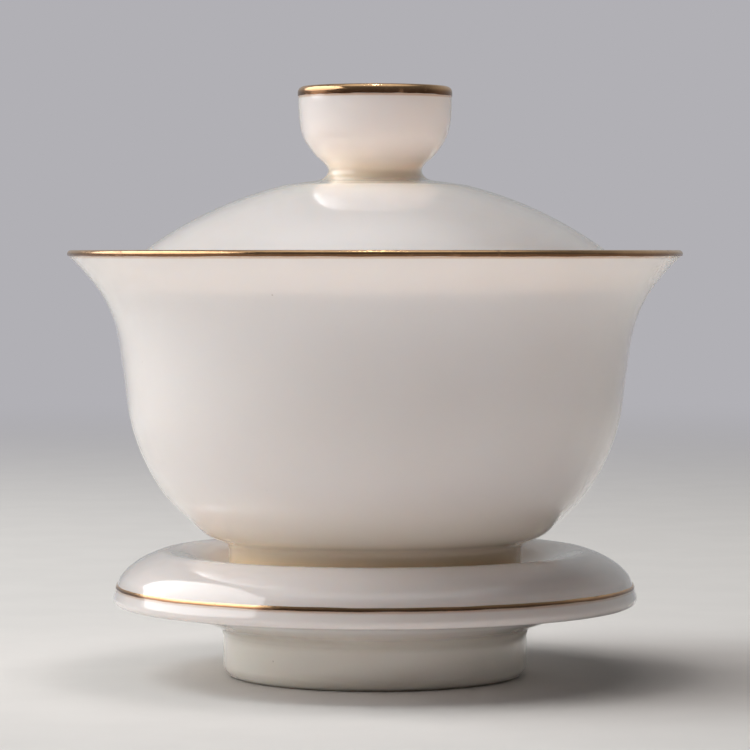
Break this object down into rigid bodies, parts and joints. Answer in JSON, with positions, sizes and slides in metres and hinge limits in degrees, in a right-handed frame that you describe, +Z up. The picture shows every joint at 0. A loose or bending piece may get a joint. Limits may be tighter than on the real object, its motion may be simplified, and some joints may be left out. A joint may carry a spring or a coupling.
{
  "type": "gaiwan",
  "caption": "Lidded porcelain tea bowl with a flared lip, resting in a pedestal saucer, with gilded edges and a cup-shaped lid knob.",
  "frame": {"origin": "centre of the saucer's foot, on the surface that it stands on", "axes": "+Z up along the axis that all the pieces are turned about; X and Y are free, because every piece is round"},
  "size_m": [0.105, 0.105, 0.1005],
  "materials": {
    "porcelain": "glossy warm ivory glaze, slightly translucent",
    "gilt": "burnished gold line, fired on"
  },
  "bodies": {
    "saucer": {"saucer": "porcelain", "saucer_edge_gilding": "gilt"},
    "bowl": {"bowl": "porcelain", "bowl_lip_gilding": "gilt"},
    "lid": {"lid": "porcelain", "knob_rim_gilding": "gilt"}
  },
  "joints": [
    {"name": "bowl_lift", "type": "slide", "parent": "saucer", "child": "bowl", "axis": [0, 0, 1], "range_m": [0, 0.06]},
    {"name": "lid_lift", "type": "slide", "parent": "bowl", "child": "lid", "axis": [0, 0, 1], "range_m": [0, 0.06]}
  ]
}
